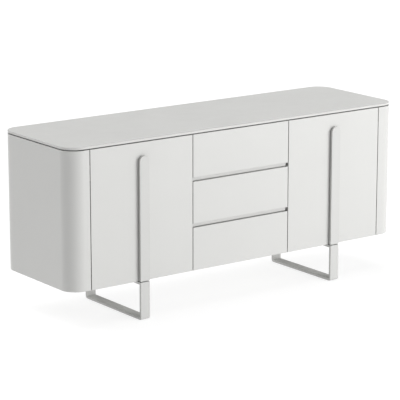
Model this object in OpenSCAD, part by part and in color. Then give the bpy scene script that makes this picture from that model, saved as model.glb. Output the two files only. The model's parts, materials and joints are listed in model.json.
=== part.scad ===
// Sideboard with rounded ends: two doors, three drawers and two flat-bar leg frames.
// Millimetres, +Z up. X runs along the length and -Y is the front. The origin is on the
// floor, at the centre of the overall footprint.

/* [Cabinet] */
// Overall length
cab_w = 1700; // [1600:10:1900]
// Depth from the door faces to the back
cab_d = 512; // [500:1:560]
// Overall height from the floor to the top surface
cab_h = 752; // [730:1:800]
// Radius of the four upright corners
corner_r = 70; // [50:1:80]
// Thickness of the top slab
top_t = 10; // [10:1:25]
// Height of the shadow gap under the top slab
shadow_gap = 3.5; // [2:0.5:6]
// How far the shadow gap runs in under the slab
shadow_inset = 24; // [24:1:40]
// Height of the cabinet's underside above the floor
under_h = 164; // [140:1:200]
// Thickness of the cabinet boards and end shells
board_t = 18; // [18:0.5:19]
// Thickness of the back panel
back_t = 8; // [6:1:10]

/* [Fronts] */
// Width of each rounded end, measured on the front
end_w = 97; // [95:1:120]
// Thickness of the doors and drawer fronts
front_t = 20; // [20:0.5:22]
// Gap between neighbouring fronts
front_gap = 3; // [3:0.5:5]
// Width of the drawer fronts
drawer_w = 497; // [480:1:520]
// Height of the lower drawer front
low_front_h = 182.5; // [176:0.5:188]
// Height of the middle drawer front; the upper one takes the rest
mid_front_h = 191.5; // [186:0.5:197]
// Height of the finger pulls along the foot of the middle and upper drawer fronts
pull_h = 14; // [12:0.5:18]
// Depth of the finger pulls behind the faces
pull_d = 10; // [9.5:0.5:14]
// Thickness left at the lips of the drawer fronts
lip_t = 4; // [3:0.5:6]

/* [Flat bar] */
// Width of the flat bar of the door strips and legs
bar_w = 45; // [40:1:50]
// Thickness of the flat bar
bar_t = 10; // [8:1:12]
// Distance that the batten holds a door strip off its door
strip_stand = 5; // [5:0.5:8]
// Width of the batten behind a door strip
batten_w = 21; // [16:1:25]
// Distance from the top of a door to the top of its strip
strip_drop = 54; // [30:1:80]
// Depth of a leg frame from front to back
leg_d = 412; // [380:1:440]
// Outer bend radius at the foot of a leg frame
leg_bend_r = 12; // [11:1:20]
// Thickness of the plate between a leg frame and the cabinet
leg_plate_t = 3; // [2:0.5:5]
// Thickness of the foot pads
pad_t = 1.5; // [1:0.5:3]

/* [Drawers] */
// Thickness of the drawer sides and backs
side_t = 12; // [10:1:13]
// Height of the drawer sides
side_h = 130; // [110:1:130]
// Length of the drawer sides
side_l = 450; // [400:1:460]
// Thickness of the drawer bottoms
bottom_t = 6; // [4:1:8]
// Width of the space that a runner fills
runner_w = 13; // [13:0.5:14]
// Height of a runner
runner_h = 45; // [40:1:46]

/* [Hidden] */
$fn = 96;
eps = 0.5;

// Levels and faces
depth_all = cab_d + strip_stand + bar_t;
bar_y = -depth_all / 2;
front_y = bar_y + bar_t + strip_stand;
back_y = depth_all / 2;
door_back_y = front_y + front_t;
board_y = door_back_y + 2;
back_in_y = back_y - back_t;
body_z = cab_h - top_t - shadow_gap;
inner_lo = under_h + board_t;
inner_hi = body_z - board_t;

// Widths, counted from the middle of the cabinet
shell_x = cab_w / 2 - end_w;
part_x = (drawer_w + front_gap) / 2;
bay_x = part_x - board_t / 2;
door_x0 = drawer_w / 2 + front_gap;
door_x1 = shell_x - front_gap;
door_mid = (door_x0 + door_x1) / 2;

// Drawer fronts, from the lowest up, and the boxes and rails behind them
mid_front_z = under_h + low_front_h + front_gap;
high_front_z = mid_front_z + mid_front_h + front_gap;
FRONT_H = [low_front_h, mid_front_h, body_z - high_front_z];
FRONT_Z = [under_h, mid_front_z, high_front_z];
bevel = front_t - lip_t;
leaf_end = 4;
leaf_drop = 1.5;
rail_h = 34;
box_rise = 26;
box_x = bay_x - runner_w;
groove = side_t / 2;
bottom_rise = 10;
runner_rise = box_rise + 55;
runner_y = door_back_y + 6.5;
runner_l = side_l - 10;
channel_t = 1.5;
flange_end = 2.5;
nest_x = 2;
mid_flange_t = 4.4;
mid_nest = 1.8;
inner_nest = 6.5;

// Shelves and their pins
shelf_z = 446;
shelf_play = 1;
shelf_y = board_y + 26;
shelf_back = 4;
pin_d = 5;
pin_in = 8;
SHELF_PIN_Y = [shelf_y + 40, back_in_y - 50];

// Door hinges: the pin's axis, measured from a door's outer edge and front face
hinge_in = 10;
hinge_back = 7;
hinge_x = door_x1 - hinge_in;
hinge_y = front_y + hinge_back;
HINGE_Z = [under_h + 95, body_z - 95];
door_chamfer = 5;
barrel_d = 9;
hinge_pin_d = 4;
pin_play = 0.05;
leaf_h = 60;
leaf_t = 2;
leaf_reach = 42;
web_x = -2;
arm_h = 24;
arm_gap = 0.5;
arm_t = 3;
arm_inner = -1;
arm_end = 58;
arm_plate_h = 40;
crank_clear = 1.5;
pocket_play = 0.5;
edge_room = front_t - hinge_back;

// Screws: [shank diameter, length, head diameter, head height]
STRIP_SCREW = [4, front_t + strip_stand + 4, 8, 3];
LEG_SCREW = [6, 25, 11, 3];
TOP_SCREW = [4, board_t + shadow_gap + 7, 8, 2.5];
BACK_SCREW = [3.5, 28, 7, 2];
ARM_SCREW = [4, 16, 7.6, 2];
LEAF_SCREW = [4, 12, 7.2, 1.8];
slack = 0.2;

// Screw places; those of the hinges are measured from the pin's axis
ARM_SCREW_Y = [30, 46];
LEAF_SCREW_Z = [-18, 18];
leaf_screw_x = -25;
STRIP_SCREW_Z = [under_h + 70, under_h + 250, under_h + 430];
LEG_SCREW_X = [-12, 12];
LEG_SCREW_Y = [board_y + 36, board_y + 166, board_y + 296];
TOP_SCREW_X = [-690, -400, -140, 140, 400, 690];
TOP_SCREW_Y = [board_y + 46, back_in_y - 60];
BACK_SCREW_X = [-600, -350, 0, 350, 600];
BACK_SCREW_Z = [300, 450, 600];

leg_top = under_h - leg_plate_t;
leg_back_y = bar_y + leg_d;
strip_top = body_z - strip_drop;
PAD_Y = [bar_y + 46, leg_back_y - 46];
pad_d = 36;
bumper_d = 6;
bumper_t = 1.7;
BUMPER_Z = [under_h + 60, body_z - 60];

LACQUER = [0.86, 0.86, 0.85];
METAL = [0.82, 0.82, 0.81];
BOARD = [0.80, 0.80, 0.79];
BOX = [0.78, 0.77, 0.75];
STEEL = [0.62, 0.63, 0.65];
DARK = [0.18, 0.18, 0.18];

LEVELS = ["lower", "middle", "upper"];

// A block between two opposite corners
module block(lo, hi) {
    translate(lo) cube(hi - lo);
}

// An outline raised from one level to another
module raise(z0, z1) {
    translate([0, 0, z0]) linear_extrude(z1 - z0) children();
}

// The waste outside a rounded corner that points to -X and -Y
module corner_waste(r) {
    difference() {
        translate([-eps, -eps]) square(r + eps);
        translate([r, r]) circle(r);
    }
}

// A rectangle with one radius on its two low corners and another on its two high corners
module rounded_rect(lo, hi, r_low, r_high) {
    difference() {
        translate(lo) square(hi - lo);
        for (right = [0, 1]) {
            translate([right ? hi[0] : lo[0], lo[1]]) mirror([right, 0]) corner_waste(r_low);
            translate([right ? hi[0] : lo[0], hi[1]])
                mirror([0, 1]) mirror([right, 0]) corner_waste(r_high);
        }
    }
}

// The cabinet's outline in plan, set in from its outer faces
module plan(inset) {
    half = cab_w / 2 - inset;
    r = corner_r - inset;
    rounded_rect([-half, front_y + inset], [half, back_y - inset], r, r);
}

// The same thing on the left that its children make on the right
module on_left() {
    mirror([1, 0, 0]) children();
}

// A shape repeated on both sides
module both_sides() {
    children();
    on_left() children();
}

// A pan-head screw along +Z; its head sits below the origin
module pan_screw(size, play = 0) {
    cylinder(d = size[0] + 2 * play, h = size[1]);
    translate([0, 0, -size[3]]) cylinder(d = size[2] + 2 * play, h = size[3]);
}

// A countersunk screw along +Z; the top of its head is at the origin
module flat_screw(size, play = 0) {
    cylinder(d1 = size[2] + 2 * play, d2 = size[0] + 2 * play, h = size[3]);
    cylinder(d = size[0] + 2 * play, h = size[1]);
}

// Places of each group of screws. Every screw points along +Z of its child
module at_leg_screws() {
    for (x = LEG_SCREW_X, y = LEG_SCREW_Y)
        translate([door_mid + x, y, leg_top - bar_t]) children();
}

module at_top_screws() {
    for (x = TOP_SCREW_X, y = TOP_SCREW_Y)
        translate([x, y, inner_hi]) children();
}

module at_back_screws() {
    for (x = BACK_SCREW_X, z = [under_h + board_t / 2, body_z - board_t / 2])
        translate([x, back_y, z]) rotate([90, 0, 0]) children();
    for (x = [-part_x, part_x], z = BACK_SCREW_Z)
        translate([x, back_y, z]) rotate([90, 0, 0]) children();
}

module at_strip_screws() {
    for (z = STRIP_SCREW_Z)
        translate([door_mid, door_back_y - STRIP_SCREW[3], z]) rotate([90, 0, 0]) children();
}

module at_hinges() {
    for (z = HINGE_Z)
        translate([hinge_x, hinge_y, z]) children();
}

// Screw places on one hinge, in the hinge's own frame
module at_arm_screws() {
    for (y = ARM_SCREW_Y)
        translate([hinge_in + front_gap - arm_t, y, 0]) rotate([0, 90, 0]) children();
}

module at_leaf_screws() {
    for (z = LEAF_SCREW_Z)
        translate([leaf_screw_x, edge_room + leaf_t, z]) rotate([90, 0, 0]) children();
}

// ---- Cabinet ----

module top_slab() {
    color(LACQUER) difference() {
        raise(cab_h - top_t, cab_h) plan(0);
        at_top_screws() pan_screw(TOP_SCREW);
    }
}

module top_spacer() {
    color(DARK) difference() {
        raise(body_z, body_z + shadow_gap) plan(shadow_inset);
        at_top_screws() pan_screw(TOP_SCREW);
    }
}

// A full-length board inside the end shells; its front edge clears the doors and drawers
module full_board(z) {
    raise(z, z + board_t) difference() {
        union() {
            plan(board_t);
            translate([-shell_x, 0]) square([2 * shell_x, back_in_y]);
        }
        translate([-shell_x, front_y]) square([2 * shell_x, board_y - front_y]);
    }
}

module top_board() {
    color(BOARD) difference() {
        full_board(inner_hi);
        at_top_screws() pan_screw(TOP_SCREW);
        at_back_screws() flat_screw(BACK_SCREW);
    }
}

module bottom_board() {
    color(BOARD) difference() {
        full_board(under_h);
        both_sides() at_leg_screws() pan_screw(LEG_SCREW);
        at_back_screws() flat_screw(BACK_SCREW);
    }
}

// A bent end: front return, corner, side, corner and back return in one shell
module end_shell() {
    color(LACQUER) raise(under_h, body_z) difference() {
        plan(0);
        plan(board_t);
        translate([-cab_w, front_y - eps]) square([cab_w + shell_x, cab_d + 2 * eps]);
    }
}

module inner_side() {
    color(BOARD) difference() {
        block(
            [shell_x, front_y + board_t, inner_lo],
            [shell_x + board_t, back_y - board_t, inner_hi]
        );
        shelf_pin_pair(shell_x);
        at_hinges() at_arm_screws() flat_screw(ARM_SCREW);
    }
}

module partition() {
    color(BOARD) difference() {
        block([bay_x, board_y, inner_lo], [bay_x + board_t, back_in_y, inner_hi]);
        shelf_pin_pair(bay_x + board_t);
        at_back_screws() flat_screw(BACK_SCREW);
    }
}

module back_panel() {
    color(BOARD) difference() {
        block([-shell_x, back_in_y, under_h], [shell_x, back_y, body_z]);
        at_back_screws() flat_screw(BACK_SCREW, slack);
    }
}

// The rail behind the gap under a drawer front
module drawer_rail(level) {
    middle_z = FRONT_Z[level] - front_gap / 2;
    color(LACQUER) block(
        [-bay_x, board_y, middle_z - rail_h / 2],
        [bay_x, board_y + board_t, middle_z + rail_h / 2]
    );
}

module shelf() {
    color(BOARD) block(
        [bay_x + board_t + shelf_play, shelf_y, shelf_z],
        [shell_x - shelf_play, back_in_y - shelf_back, shelf_z + board_t]
    );
}

// Two shelf pins whose middle is on the face at x
module shelf_pin_pair(x) {
    for (y = SHELF_PIN_Y)
        translate([x - pin_in, y, shelf_z - pin_d / 2]) rotate([0, 90, 0])
            cylinder(d = pin_d, h = 2 * pin_in);
}

module shelf_pins() {
    color(STEEL) both_sides() {
        shelf_pin_pair(bay_x + board_t);
        shelf_pin_pair(shell_x);
    }
}

module top_screws() {
    color(STEEL) at_top_screws() pan_screw(TOP_SCREW);
}

module back_screws() {
    color(STEEL) at_back_screws() flat_screw(BACK_SCREW);
}

module door_bumpers() {
    color(DARK) both_sides() for (z = BUMPER_Z)
        translate([(door_x0 + part_x + board_t / 2) / 2, board_y, z]) rotate([90, 0, 0])
            cylinder(d = bumper_d, h = bumper_t);
}

// ---- Legs ----

// A closed loop of flat bar: front upright, foot bar, rear upright and top bar
module leg_frame() {
    color(METAL) difference() {
        translate([door_mid - bar_w / 2, 0, 0]) rotate([90, 0, 90]) linear_extrude(bar_w)
            difference() {
                rounded_rect([bar_y, pad_t], [leg_back_y, leg_top], leg_bend_r, 4);
                rounded_rect(
                    [bar_y + bar_t, pad_t + bar_t],
                    [leg_back_y - bar_t, leg_top - bar_t],
                    leg_bend_r - bar_t, 2
                );
            }
        at_leg_screws() pan_screw(LEG_SCREW, slack);
    }
}

module leg_plate() {
    difference() {
        block(
            [door_mid - bar_w / 2, board_y + 4, leg_top],
            [door_mid + bar_w / 2, leg_back_y - bar_t, under_h]
        );
        at_leg_screws() pan_screw(LEG_SCREW, slack);
    }
}

module leg_plates() {
    color(METAL) both_sides() leg_plate();
}

module leg_screws() {
    color(STEEL) both_sides() at_leg_screws() pan_screw(LEG_SCREW);
}

module foot_pads() {
    color(DARK) both_sides() for (y = PAD_Y)
        translate([door_mid, y, 0]) cylinder(d = pad_d, h = pad_t);
}

// ---- Doors ----

// The recess in a door's back and outer edge that a hinge turns in
module hinge_pocket() {
    reach = barrel_d / 2 + pocket_play;
    block(
        [-reach, -reach, -leaf_h / 2 - 1],
        [hinge_in + eps, edge_room + eps, leaf_h / 2 + 1]
    );
}

module door() {
    color(LACQUER) difference() {
        raise(under_h, body_z) polygon([
            [door_x0, front_y],
            [door_x1, front_y],
            [door_x1, door_back_y - door_chamfer],
            [door_x1 - door_chamfer, door_back_y],
            [door_x0, door_back_y],
        ]);
        at_hinges() hinge_pocket();
        at_hinges() at_leaf_screws() flat_screw(LEAF_SCREW);
        at_strip_screws() pan_screw(STRIP_SCREW, slack);
    }
}

// A flat bar on edge with a half-round top end
module strip_bar(w, y0, y1, z0, z_round) {
    translate([door_mid, y1, 0]) rotate([90, 0, 0]) linear_extrude(y1 - y0) {
        translate([-w / 2, z0]) square([w, z_round - z0]);
        translate([0, z_round]) circle(d = w);
    }
}

module strip_batten() {
    color(METAL) difference() {
        strip_bar(batten_w, front_y - strip_stand, front_y, under_h + 15, strip_top - bar_w / 2);
        at_strip_screws() pan_screw(STRIP_SCREW, slack);
    }
}

module door_strip() {
    color(METAL) difference() {
        strip_bar(bar_w, bar_y, bar_y + bar_t, under_h, strip_top - bar_w / 2);
        at_strip_screws() pan_screw(STRIP_SCREW);
    }
}

module strip_screws() {
    color(STEEL) at_strip_screws() pan_screw(STRIP_SCREW);
}

// ---- Hinges, in a frame on the pin's axis: +X to the door's outer edge, +Y to the back ----

// The cranked arm that carries the door and is screwed to the inner side
module hinge_arm() {
    face = hinge_in + front_gap;
    crank = edge_room + crank_clear;
    difference() {
        union() {
            translate([0, 0, -arm_h / 2]) cylinder(d = barrel_d, h = arm_h);
            block(
                [arm_inner, 0, -arm_h / 2],
                [arm_inner + arm_t, crank + arm_t, arm_h / 2]
            );
            block([arm_inner, crank, -arm_h / 2], [face, crank + arm_t, arm_h / 2]);
            block([face - arm_t, crank, -arm_plate_h / 2], [face, arm_end, arm_plate_h / 2]);
        }
        cylinder(d = hinge_pin_d + 2 * pin_play, h = leaf_h, center = true);
        at_arm_screws() flat_screw(ARM_SCREW, slack);
    }
}

// The leaf on the door: two barrels, a web in the pocket and a plate on the door's back
module hinge_leaf() {
    web = barrel_d / 2;
    barrel_h = (leaf_h - arm_h) / 2 - arm_gap;
    difference() {
        union() {
            for (top = [0, 1]) mirror([0, 0, top])
                translate([0, 0, -leaf_h / 2]) cylinder(d = barrel_d, h = barrel_h);
            difference() {
                block([-web, 0, -leaf_h / 2], [web_x, edge_room + leaf_t, leaf_h / 2]);
                block(
                    [-web - eps, -eps, -arm_h / 2 - arm_gap],
                    [web_x + eps, web + 1, arm_h / 2 + arm_gap]
                );
            }
            block(
                [-leaf_reach, edge_room, -leaf_h / 2],
                [web_x, edge_room + leaf_t, leaf_h / 2]
            );
        }
        cylinder(d = hinge_pin_d, h = leaf_h + 2, center = true);
        at_leaf_screws() flat_screw(LEAF_SCREW, slack);
    }
}

module hinge_arms() {
    color(STEEL) at_hinges() hinge_arm();
}

module hinge_leaves() {
    color(STEEL) at_hinges() hinge_leaf();
}

module hinge_pins() {
    color(STEEL) at_hinges() cylinder(d = hinge_pin_d, h = leaf_h, center = true);
}

module leaf_screws() {
    color(STEEL) at_hinges() at_leaf_screws() flat_screw(LEAF_SCREW);
}

module hinge_arm_screws() {
    color(STEEL) both_sides() at_hinges() at_arm_screws() flat_screw(ARM_SCREW);
}

// ---- Drawers. Level 0 is the lowest ----

// The bottom's outline, which its grooves in the front and sides follow
module drawer_bottom(level) {
    z = FRONT_Z[level] + box_rise + bottom_rise;
    half = box_x - side_t + groove;
    color(BOX) block(
        [-half, door_back_y - groove, z],
        [half, door_back_y + side_l, z + bottom_t]
    );
}

// Section of a drawer front: the two lower ones are bevelled behind the top edge, and the two
// upper ones have a finger pull along the foot, undercut behind its lip and closed by a leaf
module front_section(level) {
    z0 = FRONT_Z[level];
    z1 = z0 + FRONT_H[level];
    low = level == 0 ? z0 : z0 - leaf_drop;
    over = level == 2 ? 0 : bevel;
    foot = level == 0 ? [[front_y, z0]] : [
        [front_y, z0 + pull_h],
        [front_y + lip_t, z0 + pull_h],
        [front_y + pull_d, z0 + pull_h + pull_d - lip_t],
        [front_y + pull_d, low],
    ];
    head = [[door_back_y, z1 - over], [door_back_y - over, z1], [front_y, z1]];
    polygon(concat(foot, [[door_back_y, low]], head));
}

module drawer_front(level) {
    color(LACQUER) difference() {
        translate([-drawer_w / 2, 0, 0])
            rotate([90, 0, 90]) linear_extrude(drawer_w) front_section(level);
        drawer_bottom(level);
        if (level > 0) both_sides() block(
            [drawer_w / 2 - leaf_end, front_y + pull_d - eps, FRONT_Z[level] - leaf_drop - eps],
            [drawer_w / 2 + eps, door_back_y + eps, FRONT_Z[level] + pull_h]
        );
    }
}

module drawer_sides(level) {
    z = FRONT_Z[level] + box_rise;
    color(BOX) difference() {
        both_sides() block(
            [box_x - side_t, door_back_y, z],
            [box_x, door_back_y + side_l, z + side_h]
        );
        drawer_bottom(level);
    }
}

module drawer_back(level) {
    z = FRONT_Z[level] + box_rise;
    inner = box_x - side_t;
    color(BOX) block(
        [-inner, door_back_y + side_l - side_t, z + bottom_rise + bottom_t],
        [inner, door_back_y + side_l, z + side_h]
    );
}

// A channel of a runner: a web at x_web and flanges that reach to x_end
module channel(level, x_web, x_end, half_h, flange_t) {
    z = FRONT_Z[level] + runner_rise;
    dir = sign(x_end - x_web);
    out = x_web + dir * channel_t;
    translate([0, runner_y, z]) both_sides() {
        block([min(x_web, out), 0, -half_h], [max(x_web, out), runner_l, half_h]);
        for (top = [0, 1]) mirror([0, 0, top]) block(
            [min(x_web, x_end), 0, half_h - flange_t],
            [max(x_web, x_end), runner_l, half_h]
        );
    }
}

module runner_cabinet_members() {
    color(STEEL) for (level = [0:2])
        channel(level, bay_x, box_x + flange_end, runner_h / 2, channel_t);
}

module runner_mid_members(level) {
    color(STEEL)
        channel(level, bay_x - nest_x, box_x + flange_end, runner_h / 2 - mid_nest, mid_flange_t);
}

module runner_drawer_members(level) {
    color(STEEL)
        channel(level, box_x, bay_x - 2 * nest_x, runner_h / 2 - inner_nest, channel_t);
}

// ---- Drawing ----

top_slab();
top_spacer();
top_board();
bottom_board();
on_left() end_shell();  // left_end_shell
end_shell();  // right_end_shell
on_left() inner_side();  // left_inner_side
inner_side();  // right_inner_side
on_left() partition();  // left_partition
partition();  // right_partition
back_panel();
drawer_rail(2);  // upper_drawer_rail
drawer_rail(1);  // lower_drawer_rail
on_left() shelf();  // left_shelf
shelf();  // right_shelf
shelf_pins();
on_left() leg_frame();  // left_leg_frame
leg_frame();  // right_leg_frame
leg_plates();
leg_screws();
foot_pads();
top_screws();
back_screws();
door_bumpers();
on_left() hinge_arms();  // left_hinge_arms
hinge_arms();  // right_hinge_arms
hinge_arm_screws();
runner_cabinet_members();
on_left() door();  // left_door
on_left() strip_batten();  // left_strip_batten
on_left() door_strip();  // left_door_strip
on_left() strip_screws();  // left_strip_screws
on_left() hinge_leaves();  // left_hinge_leaves
on_left() hinge_pins();  // left_hinge_pins
on_left() leaf_screws();  // left_leaf_screws
door();  // right_door
strip_batten();  // right_strip_batten
door_strip();  // right_door_strip
strip_screws();  // right_strip_screws
hinge_leaves();  // right_hinge_leaves
hinge_pins();  // right_hinge_pins
leaf_screws();  // right_leaf_screws
for (level = [0:2]) {
    drawer_front(level);
    drawer_sides(level);
    drawer_back(level);
    drawer_bottom(level);
    runner_drawer_members(level);
    runner_mid_members(level);
}
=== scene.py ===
"""The looks of a sideboard buffet: rounded edges, materials, light and camera, in metres."""

import json
from math import cos, pi, radians, sin

import bmesh
import bpy
from mathutils import Euler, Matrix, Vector

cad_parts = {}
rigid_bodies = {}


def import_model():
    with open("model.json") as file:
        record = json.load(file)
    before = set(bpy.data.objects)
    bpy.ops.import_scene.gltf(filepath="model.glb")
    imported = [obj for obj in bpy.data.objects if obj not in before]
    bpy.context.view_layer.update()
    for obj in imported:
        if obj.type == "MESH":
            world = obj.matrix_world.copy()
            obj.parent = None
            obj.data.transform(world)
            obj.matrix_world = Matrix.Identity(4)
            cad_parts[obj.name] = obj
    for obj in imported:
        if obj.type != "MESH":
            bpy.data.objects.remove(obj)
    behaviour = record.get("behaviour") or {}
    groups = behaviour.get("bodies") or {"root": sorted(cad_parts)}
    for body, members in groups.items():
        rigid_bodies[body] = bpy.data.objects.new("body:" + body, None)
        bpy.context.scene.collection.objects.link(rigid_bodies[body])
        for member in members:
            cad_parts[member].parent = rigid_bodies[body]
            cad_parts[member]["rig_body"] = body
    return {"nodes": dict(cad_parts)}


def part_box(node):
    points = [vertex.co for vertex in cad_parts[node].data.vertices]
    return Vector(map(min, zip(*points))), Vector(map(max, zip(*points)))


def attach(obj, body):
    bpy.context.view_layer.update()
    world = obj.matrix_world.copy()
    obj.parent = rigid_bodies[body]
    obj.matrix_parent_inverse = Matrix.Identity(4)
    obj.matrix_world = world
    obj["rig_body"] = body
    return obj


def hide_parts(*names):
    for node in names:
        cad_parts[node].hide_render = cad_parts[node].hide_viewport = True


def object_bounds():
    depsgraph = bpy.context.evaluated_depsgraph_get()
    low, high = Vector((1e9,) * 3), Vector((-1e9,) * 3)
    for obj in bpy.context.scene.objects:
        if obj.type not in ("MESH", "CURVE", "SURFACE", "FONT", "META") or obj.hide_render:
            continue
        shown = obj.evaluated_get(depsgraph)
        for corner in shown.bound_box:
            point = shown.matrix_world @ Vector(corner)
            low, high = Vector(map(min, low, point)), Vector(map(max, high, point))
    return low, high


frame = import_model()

CAD_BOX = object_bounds()
NODES = frame["nodes"]
SIDES = ("left", "right")

# Sizes of the real piece of furniture that its finish follows
CORNER_R = 0.070        # upright corners of the slab and the end shells
BOARD_T = 0.018         # thickness of the end shells
BAR_T = 0.010           # thickness of the flat bar
FOOT_BEND_R = 0.012     # outer bend at the foot of a leg frame
BAR_CORNER_R = 0.004    # outer corner at the top of a leg frame
INNER_BEND_R = 0.002    # inner corners of a leg frame

# How much the sharp edges are rounded
SLAB_EASE = 0.0016
SHELL_EASE = 0.0010
BAR_EASE = 0.0009       # strips, battens and leg frames
FRONT_EASE = 0.0006     # doors and drawer fronts
BOARD_EASE = 0.0005
FITTING_EASE = 0.00025
FITTINGS = ("pad", "leaves", "arms", "runner", "screws", "bumpers", "pins", "plates")

# Fineness of the meshes
ARC_STEPS = 40          # straight pieces in a quarter of a large corner
BEND_STEPS = 12         # straight pieces in a quarter of a bend in the flat bar
EASE_STEPS = 4          # strips of faces along a rounded edge of a new piece
NODE_EASE_STEPS = 3     # the same on a CAD node
SHARP = radians(30)     # an edge that turns more than this is rounded
COPLANAR = radians(0.2)
SAME_POINT = 1e-6

# Light. Each lamp has a name, an azimuth from the front towards the right, an elevation and a strength.
SKY = 0.112             # even light from all round
BACKDROP = 1.05         # the white behind the furniture, which lights nothing
FLOOR_GLOW = 0.780
SUNS = (("key", 30, 20, 1.568), ("back", 210, 50, 2.418), ("overhead", 0, 89, 1.336))
SUN_WIDTH = radians(50)
SUN_DISTANCE = 10.0
SOFT_BOXES = (("box_front", 30, 8, 36.8), ("box_right", 90, 30, 6.7))
SOFT_BOX_DISTANCE = 3.2
SOFT_BOX_SIZE = (2.2, 1.6)

# Floor
FLOOR_SIZE = 120.0
FLOOR_TONES = ((0.245, 0.245, 0.245), (0.255, 0.255, 0.255))

# Camera: place, turn to the right and tilt down in radians, and optics in millimetres
CAMERA_PLACE = (-5.0085, -6.7731, 2.389)
CAMERA_YAW, CAMERA_DOWN = 0.6337, 0.2339
SENSOR_WIDTH, LENS = 36.0, 182.02
VIEW_DEPTH = 200.0

# Colours, how paint wears, and the shade painted into narrow joints
LACQUER = (0.546, 0.546, 0.534)
RUBBED_LACQUER = (0.36, 0.36, 0.345)
BAR_PAINT = (0.522, 0.522, 0.511)
RUBBED_BAR_PAINT = (0.34, 0.34, 0.33)
# Painted shade: the dark colour painted deep in narrow joints
JOINT_SHADE = (0.060, 0.060, 0.056)
SHADE_REACH = 0.006      # joints narrower than about this get painted shade
# how fully the painted shade covers the paint deep in a joint
SHADE_COVER = 0.92
PAINT_EDGE = 0.0025     # width of the rubbed edge of paint
BOARD_EDGE = 0.002
STEEL_EDGE = 0.0008
RUBBER_EDGE = 0.0012
WHITE = (1.0, 1.0, 1.0, 1.0)


# ---- Outlines ----

def arc(centre, radius, start, end, steps):
    """Points along an arc, from one angle in degrees to another, both ends included."""
    turn = radians(end - start)
    return [
        (centre[0] + radius * cos(radians(start) + turn * i / steps),
         centre[1] + radius * sin(radians(start) + turn * i / steps))
        for i in range(steps + 1)
    ]


def rounded_rect(low, high, r_low, r_high, steps):
    """A rectangle, anticlockwise, with one radius on its low corners and another on its high ones."""
    (x0, y0), (x1, y1) = low, high
    return (
        arc((x0 + r_low, y0 + r_low), r_low, 180, 270, steps)
        + arc((x1 - r_low, y0 + r_low), r_low, 270, 360, steps)
        + arc((x1 - r_high, y1 - r_high), r_high, 0, 90, steps)
        + arc((x0 + r_high, y1 - r_high), r_high, 90, 180, steps)
    )


def shell_outline(x0, x1, y0, y1):
    """Plan of the right end shell: front return, corner, side, corner, back return, and back inside."""
    r_in = CORNER_R - BOARD_T
    front, back = (x1 - CORNER_R, y0 + CORNER_R), (x1 - CORNER_R, y1 - CORNER_R)
    outside = arc(front, CORNER_R, 270, 360, ARC_STEPS) + arc(back, CORNER_R, 0, 90, ARC_STEPS)
    inside = arc(back, r_in, 90, 0, ARC_STEPS) + arc(front, r_in, 0, -90, ARC_STEPS)
    ends = [(x0, y1), (x0, y1 - BOARD_T)]
    return [(x0, y0)] + outside + ends + inside + [(x0, y0 + BOARD_T)]


def round_top_outline(x0, x1, z0, z1):
    """Front view of a flat bar with a half-round top end."""
    radius = (x1 - x0) / 2
    return [(x0, z0), (x1, z0)] + arc((x0 + radius, z1 - radius), radius, 0, 180, 2 * ARC_STEPS)


# ---- Solids ----

def to_place(axis, a, b, along):
    """A point of an outline that is drawn across an axis, at a distance along that axis."""
    return {"X": (along, a, b), "Y": (a, along, b), "Z": (a, b, along)}[axis]


def prism(name, axis, outline, span, ease, hole=None):
    """An outline raised along an axis, with all its sharp edges rounded. A hole has as many points."""
    mesh = bmesh.new()
    loops = [outline] + ([hole] if hole else [])
    rings = [
        [[mesh.verts.new(to_place(axis, a, b, along)) for a, b in loop] for along in span]
        for loop in loops
    ]
    for near, far in rings:
        for i in range(len(near)):
            mesh.faces.new((near[i - 1], near[i], far[i], far[i - 1]))
    for end in (0, 1):
        if hole:
            outer, inner = rings[0][end], rings[1][end]
            for i in range(len(outer)):
                mesh.faces.new((outer[i - 1], outer[i], inner[i], inner[i - 1]))
        else:
            mesh.faces.new(rings[0][end])
    bmesh.ops.recalc_face_normals(mesh, faces=mesh.faces)
    sharp = [e for e in mesh.edges if e.calc_face_angle() > SHARP]
    bmesh.ops.bevel(
        mesh, geom=sharp, offset=ease, segments=EASE_STEPS, profile=0.5,
        affect="EDGES", clamp_overlap=False,
    )
    return mesh_object(name, mesh)


def mesh_object(name, mesh):
    data = bpy.data.meshes.new(name)
    mesh.to_mesh(data)
    mesh.free()
    data.shade_smooth()
    piece = bpy.data.objects.new(name, data)
    bpy.context.scene.collection.objects.link(piece)
    flat_normals(piece)
    return piece


def flat_normals(piece):
    """Keeps large faces flat to the eye and gives the whole turn to the rounded edges."""
    normals = piece.modifiers.new("normals", "WEIGHTED_NORMAL")
    normals.weight = 100
    normals.keep_sharp = False


def stand_for(piece, node):
    """Shows a piece in place of a CAD node: same body, same finish."""
    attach(piece, NODES[node]["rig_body"])
    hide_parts(node)
    slot = NODES[node].data.materials[0].name
    piece.data.materials.append(LOOKS[slot])


# ---- Materials ----

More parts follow.
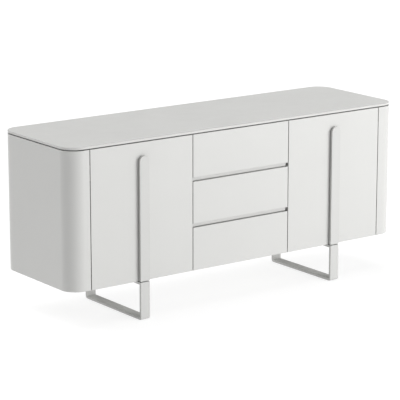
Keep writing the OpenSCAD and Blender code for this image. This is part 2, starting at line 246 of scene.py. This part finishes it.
class Finish:
    """One procedural material, in the coordinates of the furniture, in metres."""

    def __init__(self, name, roughness, metallic=0.0, specular=0.5):
        self.material = bpy.data.materials.new(name + "_finish")
        self.material.use_nodes = True
        self.nodes = self.material.node_tree.nodes
        self.links = self.material.node_tree.links
        self.shader = self.nodes["Principled BSDF"]
        self.shader.inputs["Metallic"].default_value = metallic
        self.shader.inputs["Specular IOR Level"].default_value = specular
        self.shader.inputs["Roughness"].default_value = roughness
        self.place = self.nodes.new("ShaderNodeTexCoord").outputs["Object"]

    def stretched(self, scale):
        mapping = self.nodes.new("ShaderNodeMapping")
        mapping.inputs["Scale"].default_value = scale
        self.links.new(self.place, mapping.inputs["Vector"])
        return mapping.outputs["Vector"]

    def noise(self, scale, detail=3.0, stretch=(1, 1, 1)):
        node = self.nodes.new("ShaderNodeTexNoise")
        node.inputs["Scale"].default_value = scale
        node.inputs["Detail"].default_value = detail
        self.links.new(self.stretched(stretch), node.inputs["Vector"])
        return node.outputs["Fac"]

    def ranged(self, value, low, high, to_low, to_high):
        node = self.nodes.new("ShaderNodeMapRange")
        self.links.new(value, node.inputs["Value"])
        limits = {"From Min": low, "From Max": high, "To Min": to_low, "To Max": to_high}
        for socket, number in limits.items():
            node.inputs[socket].default_value = number
        return node.outputs["Result"]

    def math(self, operation, a, b):
        node = self.nodes.new("ShaderNodeMath")
        node.operation = operation
        for socket, value in zip(node.inputs, (a, b)):
            if isinstance(value, (int, float)):
                socket.default_value = value
            else:
                self.links.new(value, socket)
        return node.outputs["Value"]

    def share(self, a, b, part_of_a):
        """A mean of two values in which the first has the given share."""
        return self.math("ADD", self.math("MULTIPLY", a, part_of_a),
                         self.math("MULTIPLY", b, 1 - part_of_a))

    def mix(self, factor, a, b):
        """A colour between two others: the first at factor 0, the second at factor 1."""
        node = self.nodes.new("ShaderNodeMix")
        node.data_type = "RGBA"
        self.links.new(factor, node.inputs["Factor"])
        for socket, value in zip(("A", "B"), (a, b)):
            colour_input = [s for s in node.inputs if s.name == socket and s.type == "RGBA"][0]
            if isinstance(value, tuple):
                colour_input.default_value = (*value, 1.0)
            else:
                self.links.new(value, colour_input)
        return [s for s in node.outputs if s.type == "RGBA"][0]

    def edge_mask(self, radius, low=0.004, high=0.05):
        """1 along edges, inner ones too, and 0 on flat faces."""
        bevel = self.nodes.new("ShaderNodeBevel")
        bevel.samples = 4
        bevel.inputs["Radius"].default_value = radius
        geometry = self.nodes.new("ShaderNodeNewGeometry")
        dot = self.nodes.new("ShaderNodeVectorMath")
        dot.operation = "DOT_PRODUCT"
        self.links.new(bevel.outputs["Normal"], dot.inputs[0])
        self.links.new(geometry.outputs["Normal"], dot.inputs[1])
        return self.ranged(dot.outputs["Value"], 1 - low, 1 - high, 0.0, 1.0)

    def crevice_shade_mask(self, distance):
        """1 deep in a joint that is narrower than the distance, 0 on open faces; it places painted
        shade.
        """
        shade = self.nodes.new("ShaderNodeAmbientOcclusion")
        shade.samples = 8
        shade.inputs["Distance"].default_value = distance
        return self.ranged(shade.outputs["AO"], 0.2, 0.65, 1.0, 0.0)

    def bump(self, height, strength, distance):
        node = self.nodes.new("ShaderNodeBump")
        node.inputs["Strength"].default_value = strength
        node.inputs["Distance"].default_value = distance
        self.links.new(height, node.inputs["Height"])
        self.links.new(node.outputs["Normal"], self.shader.inputs["Normal"])

    def set(self, socket, value):
        self.links.new(value, self.shader.inputs[socket])


def tones(colour, spread):
    """A darker and a lighter tone of a colour."""
    return tuple(tuple(c * k for c in colour) for k in (1 - spread, 1 + spread))


def brighter(colour, factor):
    return tuple(min(1.0, c * factor) for c in colour)


def painted(name, colour, spread, roughness, peel_scale, peel, worn):
    """Sprayed paint: cloudy tone, changing gloss, a fine peel texture, rubbed, slightly darker edges,
    and painted shade that darkens narrow joints."""
    f = Finish(name, roughness, specular=0.32)
    dark, light = tones(colour, spread)
    cloud = f.ranged(f.noise(2.3, 4.0), 0.35, 0.65, 0.0, 1.0)
    speck = f.ranged(f.noise(95.0, 2.0), 0.3, 0.7, 0.0, 1.0)
    tone = f.share(cloud, speck, 0.7)
    patches = f.ranged(f.noise(38.0, 3.0), 0.35, 0.7, 0.4, 0.9)
    rub = f.math("MULTIPLY", f.edge_mask(PAINT_EDGE), patches)
    paint = f.mix(rub, f.mix(tone, dark, light), worn)
    # Painted shade: an occlusion mask darkens the paint deep in narrow joints.
    dust_and_shade = f.math("MULTIPLY", f.crevice_shade_mask(SHADE_REACH), SHADE_COVER)
    f.set("Base Color", f.mix(dust_and_shade, paint, JOINT_SHADE))
    gloss = f.ranged(f.noise(11.0, 3.0), 0.3, 0.7, roughness - 0.04, roughness + 0.05)
    f.set("Roughness", f.math("ADD", gloss, f.math("MULTIPLY", rub, 0.08)))
    f.bump(f.noise(peel_scale, 2.0), peel, 0.0003)
    return f.material


def faced_board(name, colour, spread, roughness, worn):
    """Board with a matt printed facing: a soft linear grain, a dull gloss and rubbed, paler edges."""
    f = Finish(name, roughness)
    dark, light = tones(colour, spread)
    grain = f.noise(9.0, 5.0, stretch=(1.2, 14.0, 14.0))
    fleck = f.noise(210.0, 2.0)
    tone = f.share(grain, fleck, 0.75)
    rub = f.math("MULTIPLY", f.edge_mask(BOARD_EDGE), 0.7)
    facing = f.mix(f.ranged(tone, 0.35, 0.65, 0.0, 1.0), dark, light)
    f.set("Base Color", f.mix(rub, facing, worn))
    f.set("Roughness", f.ranged(fleck, 0.3, 0.7, roughness - 0.05, roughness + 0.06))
    f.bump(tone, 0.12, 0.0003)
    return f.material


def plated_steel(name, colour, spread):
    """Zinc-plated steel: drawn lines, cloudy plating and brighter, scuffed edges."""
    f = Finish(name, 0.34, metallic=1.0)
    dark, light = tones(colour, spread)
    drawn = f.noise(60.0, 4.0, stretch=(1.0, 1.0, 9.0))
    cloud = f.noise(45.0, 3.0)
    patches = f.ranged(f.noise(300.0, 2.0), 0.3, 0.7, 0.2, 1.0)
    scuff = f.math("MULTIPLY", f.edge_mask(STEEL_EDGE), patches)
    plating = f.mix(f.ranged(cloud, 0.3, 0.7, 0.0, 1.0), dark, light)
    f.set("Base Color", f.mix(scuff, plating, brighter(colour, 1.25)))
    f.set("Roughness", f.ranged(drawn, 0.3, 0.7, 0.27, 0.45))
    f.bump(drawn, 0.08, 0.0002)
    return f.material


def rubber(name, colour, spread, roughness):
    """Matt rubber or raw dark board: mottled, grainy and dull, with dusty edges."""
    f = Finish(name, roughness, specular=0.35)
    dark, light = tones(colour, spread)
    mottle = f.noise(160.0, 4.0)
    dust_and_shade = f.math("MULTIPLY", f.edge_mask(RUBBER_EDGE), 0.5)
    f.set("Base Color", f.mix(dust_and_shade, f.mix(mottle, dark, light), brighter(colour, 1.5)))
    f.set("Roughness", f.ranged(mottle, 0.3, 0.7, roughness - 0.06, roughness + 0.06))
    f.bump(f.noise(900.0, 2.0), 0.3, 0.0003)
    return f.material


LOOKS = {
    "lacquer": painted("lacquer", LACQUER, 0.012, 0.40, 720.0, 0.05, RUBBED_LACQUER),
    "painted_bar": painted("painted_bar", BAR_PAINT, 0.012, 0.44, 1300.0, 0.12, RUBBED_BAR_PAINT),
    "inner_board": faced_board("inner_board", (0.56, 0.56, 0.545), 0.02, 0.58, (0.60, 0.60, 0.59)),
    "drawer_box": faced_board("drawer_box", (0.57, 0.56, 0.535), 0.03, 0.62, (0.60, 0.59, 0.57)),
    "fittings": plated_steel("fittings", (0.60, 0.61, 0.62), 0.06),
    "shadow_board": rubber("shadow_board", (0.10, 0.10, 0.098), 0.15, 0.75),
    "soft_pad": rubber("soft_pad", (0.060, 0.060, 0.060), 0.20, 0.70),
}


# ---- Pieces with large visible curves ----

def build_slab():
    low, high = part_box("top_slab")
    outline = rounded_rect(low.xy, high.xy, CORNER_R, CORNER_R, ARC_STEPS)
    stand_for(prism("top_slab_eased", "Z", outline, (low.z, high.z), SLAB_EASE), "top_slab")


def build_shells():
    low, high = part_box("right_end_shell")
    for side, way in (("left", -1), ("right", 1)):
        outline = [(way * x, y) for x, y in shell_outline(low.x, high.x, low.y, high.y)]
        shell = prism(side + "_end_shell_eased", "Z", outline, (low.z, high.z), SHELL_EASE)
        stand_for(shell, side + "_end_shell")


def build_strips():
    for side in SIDES:
        for part in ("_door_strip", "_strip_batten"):
            low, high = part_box(side + part)
            outline = round_top_outline(low.x, high.x, low.z, high.z)
            strip = prism(side + part + "_eased", "Y", outline, (low.y, high.y), BAR_EASE)
            stand_for(strip, side + part)


def build_leg_frames():
    for side in SIDES:
        low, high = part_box(side + "_leg_frame")
        outer = rounded_rect(
            (low.y, low.z), (high.y, high.z), FOOT_BEND_R, BAR_CORNER_R, BEND_STEPS
        )
        inner = rounded_rect(
            (low.y + BAR_T, low.z + BAR_T), (high.y - BAR_T, high.z - BAR_T),
            INNER_BEND_R, INNER_BEND_R, BEND_STEPS,
        )
        leg = prism(side + "_leg_frame_eased", "X", outer, (low.x, high.x), BAR_EASE, hole=inner)
        stand_for(leg, side + "_leg_frame")


# ---- CAD nodes that keep their shape ----

def ease_width(node):
    """How much the sharp edges of a CAD node are rounded."""
    if any(word in node for word in FITTINGS):
        return FITTING_EASE
    if NODES[node].data.materials[0].name == "lacquer":
        return FRONT_EASE
    return BOARD_EASE


def finish_node(node):
    """Gives a CAD node rounded edges, smooth shading and its finish."""
    piece = NODES[node]
    weld = piece.modifiers.new("weld", "WELD")
    weld.merge_threshold = SAME_POINT
    flat = piece.modifiers.new("flat", "DECIMATE")
    flat.decimate_type = "DISSOLVE"
    flat.angle_limit = COPLANAR
    ease = piece.modifiers.new("ease", "BEVEL")
    ease.width = ease_width(node)
    ease.segments = NODE_EASE_STEPS
    ease.limit_method = "ANGLE"
    ease.angle_limit = SHARP
    ease.use_clamp_overlap = False
    flat_normals(piece)
    for slot in piece.material_slots:
        slot.material = LOOKS[slot.material.name]


# ---- Stage ----

def build_floor():
    """A plain pale floor that glows a little, like a light table, so that shadows on it are faint."""
    bpy.ops.mesh.primitive_plane_add(size=FLOOR_SIZE)
    floor = bpy.context.object
    floor.name = "floor"
    f = Finish("floor", 0.9, specular=0.1)
    f.set("Base Color", f.mix(f.noise(0.8, 2.0), *FLOOR_TONES))
    f.shader.inputs["Emission Color"].default_value = WHITE
    f.shader.inputs["Emission Strength"].default_value = FLOOR_GLOW
    floor.data.materials.append(f.material)


def towards(azimuth, elevation):
    """The direction to a light. Azimuth 0 is straight in front, and 90 is on the right."""
    around, up = radians(azimuth), radians(elevation)
    return Vector((sin(around) * cos(up), -cos(around) * cos(up), sin(up)))


def add_light(name, kind, azimuth, elevation, distance):
    data = bpy.data.lights.new(name, kind)
    light = bpy.data.objects.new(name, data)
    away = towards(azimuth, elevation)
    light.location = (CAD_BOX[0] + CAD_BOX[1]) / 2 + away * distance
    light.rotation_euler = away.to_track_quat("Z", "Y").to_euler()
    light.visible_camera = False
    bpy.context.scene.collection.objects.link(light)
    return light


def build_lights():
    """Three broad lights that leave no glare on the top, and two nearer soft boxes for the gloss."""
    for name, azimuth, elevation, energy in SUNS:
        light = add_light(name, "SUN", azimuth, elevation, SUN_DISTANCE)
        light.visible_glossy = False
        light.data.energy = energy
        light.data.angle = SUN_WIDTH
    for name, azimuth, elevation, energy in SOFT_BOXES:
        light = add_light(name, "AREA", azimuth, elevation, SOFT_BOX_DISTANCE)
        light.data.energy = energy
        light.data.shape = "RECTANGLE"
        light.data.size, light.data.size_y = SOFT_BOX_SIZE


def build_world():
    """White to the camera, and a dimmer even sky for the light that falls on the furniture."""
    world = bpy.data.worlds.new("studio")
    bpy.context.scene.world = world
    world.use_nodes = True
    nodes, links = world.node_tree.nodes, world.node_tree.links
    nodes.clear()
    backdrop = nodes.new("ShaderNodeBackground")
    backdrop.inputs["Strength"].default_value = BACKDROP
    sky = nodes.new("ShaderNodeBackground")
    sky.inputs["Strength"].default_value = SKY
    seen = nodes.new("ShaderNodeLightPath")
    choose = nodes.new("ShaderNodeMixShader")
    links.new(seen.outputs["Is Camera Ray"], choose.inputs["Fac"])
    links.new(sky.outputs["Background"], choose.inputs[1])
    links.new(backdrop.outputs["Background"], choose.inputs[2])
    links.new(choose.outputs["Shader"], nodes.new("ShaderNodeOutputWorld").inputs["Surface"])
    for node in (backdrop, sky):
        node.inputs["Color"].default_value = WHITE


def build_camera():
    data = bpy.data.cameras.new("camera")
    data.sensor_width = SENSOR_WIDTH
    data.lens = LENS
    data.clip_end = VIEW_DEPTH
    camera = bpy.data.objects.new("camera", data)
    camera.location = CAMERA_PLACE
    camera.rotation_euler = Euler((pi / 2 - CAMERA_DOWN, 0.0, -CAMERA_YAW), "XYZ")
    bpy.context.scene.collection.objects.link(camera)
    bpy.context.scene.camera = camera


build_slab()
build_shells()
build_strips()
build_leg_frames()
replaced = {"top_slab"}
for side in SIDES:
    replaced |= {side + part for part in ("_end_shell", "_door_strip", "_strip_batten", "_leg_frame")}
for node in sorted(set(NODES) - replaced):
    finish_node(node)
build_floor()
build_lights()
build_world()
build_camera()
bpy.context.scene.view_settings.view_transform = "Standard"
